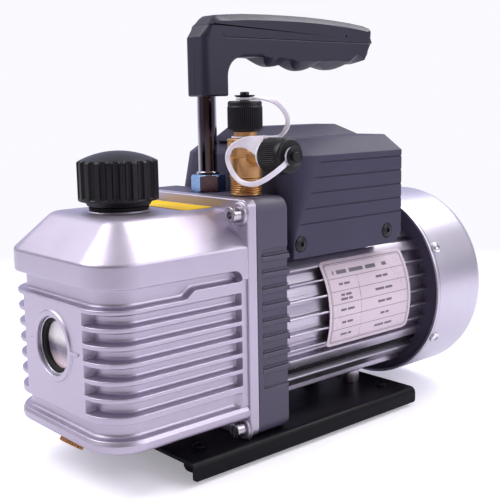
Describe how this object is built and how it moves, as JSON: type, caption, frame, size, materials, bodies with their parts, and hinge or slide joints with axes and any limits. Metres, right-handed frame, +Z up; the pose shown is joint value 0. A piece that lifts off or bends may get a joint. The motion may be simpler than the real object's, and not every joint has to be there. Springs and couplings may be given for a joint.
{
  "type": "rotary vane vacuum pump",
  "caption": "Portable rotary vane vacuum pump: finned oil case with sight glass, pump body with inlet fitting and handle, finned motor with fan cover, on a folded base with rubber feet.",
  "frame": {"origin": "on the floor, below the shaft axis, at the joint face between the oil case flange and the pump body", "axes": "+X to the side with the inlet's side port, +Y back along the shaft towards the fan cover, +Z up"},
  "size_m": [0.1476, 0.3205, 0.268],
  "materials": {
    "cast_aluminium": "satin, fine cast grain",
    "extruded_aluminium": "satin extruded",
    "spun_aluminium": "smooth satin with faint turning marks",
    "dark_painted_casting": "semi-matte dark grey paint",
    "black_painted_steel": "semi-gloss black powder coat",
    "dark_plastic": "fine moulded texture",
    "black_plastic": "satin moulded",
    "red_plastic": "glossy",
    "tether_plastic": "milky, slightly translucent",
    "rubber": "matte",
    "brass": "machined",
    "chrome": "polished",
    "zinc_plated_steel": "blue-white zinc plate",
    "steel": "machined",
    "hardened_steel": "ground and polished",
    "laminated_steel": "stacked laminations",
    "copper_wire": "enamelled copper wire",
    "cast_iron": "machined grey iron",
    "vane_composite": "graphite-filled resin",
    "clear_glass": "clear",
    "yellow_label": "smooth printed film",
    "white_label": "smooth printed film",
    "cream_film": "smooth film wrap",
    "gasket": "pressed fibre"
  },
  "bodies": {
    "root": {"base_plate": "black_painted_steel", "rubber_feet": "rubber", "foot_screws": "zinc_plated_steel", "body_screws": "zinc_plated_steel", "motor_support_spacers": "extruded_aluminium", "motor_housing": "extruded_aluminium", "stator_core": "laminated_steel", "stator_windings": "copper_wire", "bearing_outer_rings": "hardened_steel", "rear_end_bell": "dark_painted_casting", "fan_cover": "spun_aluminium", "fan_cover_screws": "chrome", "motor_tie_bolts": "black_painted_steel", "pump_body": "dark_painted_casting", "shaft_seal": "rubber", "oil_case_gasket": "gasket", "pump_cylinder": "cast_iron", "cylinder_end_plate": "cast_iron", "end_plate_screws": "zinc_plated_steel", "reed_stop": "steel", "reed_screws": "zinc_plated_steel", "oil_baffle": "steel", "oil_case": "cast_aluminium", "oil_case_screws": "zinc_plated_steel", "sight_glass": "clear_glass", "sight_glass_gasket": "rubber", "sight_glass_ring": "steel", "case_label": "yellow_label", "rating_label": "white_label", "inlet_fitting": "brass", "inlet_filter_screen": "steel", "handle_post": "chrome", "handle_lock_nut": "zinc_plated_steel", "handle_grip": "dark_plastic", "handle_top_cover": "dark_plastic", "handle_cover_pin": "black_plastic", "electrical_box": "dark_plastic", "electrical_box_screws": "black_plastic", "run_capacitor": "cream_film", "switch_body": "black_plastic", "power_inlet": "black_plastic"},
    "rotor": {"motor_shaft": "steel", "motor_rotor": "laminated_steel", "pump_rotor": "steel", "cooling_fan": "black_plastic", "bearing_inner_rings": "hardened_steel", "vane_springs": "hardened_steel"},
    "balls": {"bearing_balls": "hardened_steel"},
    "vane_a_body": {"vane_a": "vane_composite"},
    "vane_b_body": {"vane_b": "vane_composite"},
    "oil_cap_seal": {"oil_cap_oring": "rubber"},
    "oil_cap": {"oil_fill_cap": "black_plastic"},
    "top_tether_end": {"top_tether": "tether_plastic"},
    "top_cap": {"top_port_cap": "black_plastic"},
    "side_tether_end": {"side_tether": "tether_plastic"},
    "side_cap": {"side_port_cap": "black_plastic"},
    "drain_seal": {"drain_oring": "rubber"},
    "drain": {"drain_plug": "brass"},
    "switch_rocker": {"rocker": "red_plastic"},
    "reed": {"exhaust_reed": "hardened_steel"}
  },
  "joints": [
    {"name": "rotor_spin", "type": "hinge", "parent": "root", "child": "rotor", "pos_m": [0, 0, 0.0767], "axis": [0, 1, 0], "continuous": true},
    {"name": "ball_orbit", "type": "hinge", "parent": "root", "child": "balls", "pos_m": [0, 0, 0.0767], "axis": [0, 1, 0], "continuous": true},
    {"name": "vane_a_slide", "type": "slide", "parent": "rotor", "child": "vane_a_body", "axis": [1, 0, 0], "range_m": [0, 0.0038], "deforming": ["vane_springs"]},
    {"name": "vane_b_slide", "type": "slide", "parent": "rotor", "child": "vane_b_body", "axis": [-1, 0, 0], "range_m": [0, 0.0038]},
    {"name": "oil_cap_lift", "type": "slide", "parent": "root", "child": "oil_cap_seal", "axis": [0, 0, 1], "range_m": [0, 0.009]},
    {"name": "oil_cap_turn", "type": "hinge", "parent": "oil_cap_seal", "child": "oil_cap", "pos_m": [0, -0.0556, 0.155], "axis": [0, 0, 1], "range_deg": [0, 1081]},
    {"name": "top_cap_lift", "type": "slide", "parent": "root", "child": "top_tether_end", "axis": [0, 0, 1], "range_m": [0, 0.00635], "deforming": ["top_tether"]},
    {"name": "top_cap_turn", "type": "hinge", "parent": "top_tether_end", "child": "top_cap", "pos_m": [0.035, 0.0125, 0.2], "axis": [0, 0, 1], "range_deg": [0, 1801]},
    {"name": "side_cap_lift", "type": "slide", "parent": "root", "child": "side_tether_end", "axis": [1, 0, 0], "range_m": [0, 0.00635], "deforming": ["side_tether"]},
    {"name": "side_cap_turn", "type": "hinge", "parent": "side_tether_end", "child": "side_cap", "pos_m": [0.06, 0.0125, 0.1816], "axis": [1, 0, 0], "range_deg": [0, 1801]},
    {"name": "drain_lift", "type": "slide", "parent": "root", "child": "drain_seal", "axis": [0, -0.5736, -0.8192], "range_m": [0, 0.0045]},
    {"name": "drain_turn", "type": "hinge", "parent": "drain_seal", "child": "drain", "pos_m": [0, -0.088, 0.0284], "axis": [0, -0.5736, -0.8192], "range_deg": [0, 1081]},
    {"name": "rocker_tilt", "type": "hinge", "parent": "root", "child": "switch_rocker", "pos_m": [0.026, 0.13, 0.163], "axis": [1, 0, 0], "range_deg": [0, 16]},
    {"name": "reed_lift", "type": "slide", "parent": "root", "child": "reed", "axis": [0, 0, 1], "range_m": [0, 0.0018]}
  ],
  "couplings": [
    {"joint": "ball_orbit", "follows": "rotor_spin", "ratio": 0.384},
    {"joint": "oil_cap_turn", "follows": "oil_cap_lift", "rad_per_m": 2094.4},
    {"joint": "top_cap_turn", "follows": "top_cap_lift", "rad_per_m": 4947.4},
    {"joint": "side_cap_turn", "follows": "side_cap_lift", "rad_per_m": 4947.4},
    {"joint": "drain_turn", "follows": "drain_lift", "rad_per_m": 4188.8}
  ]
}
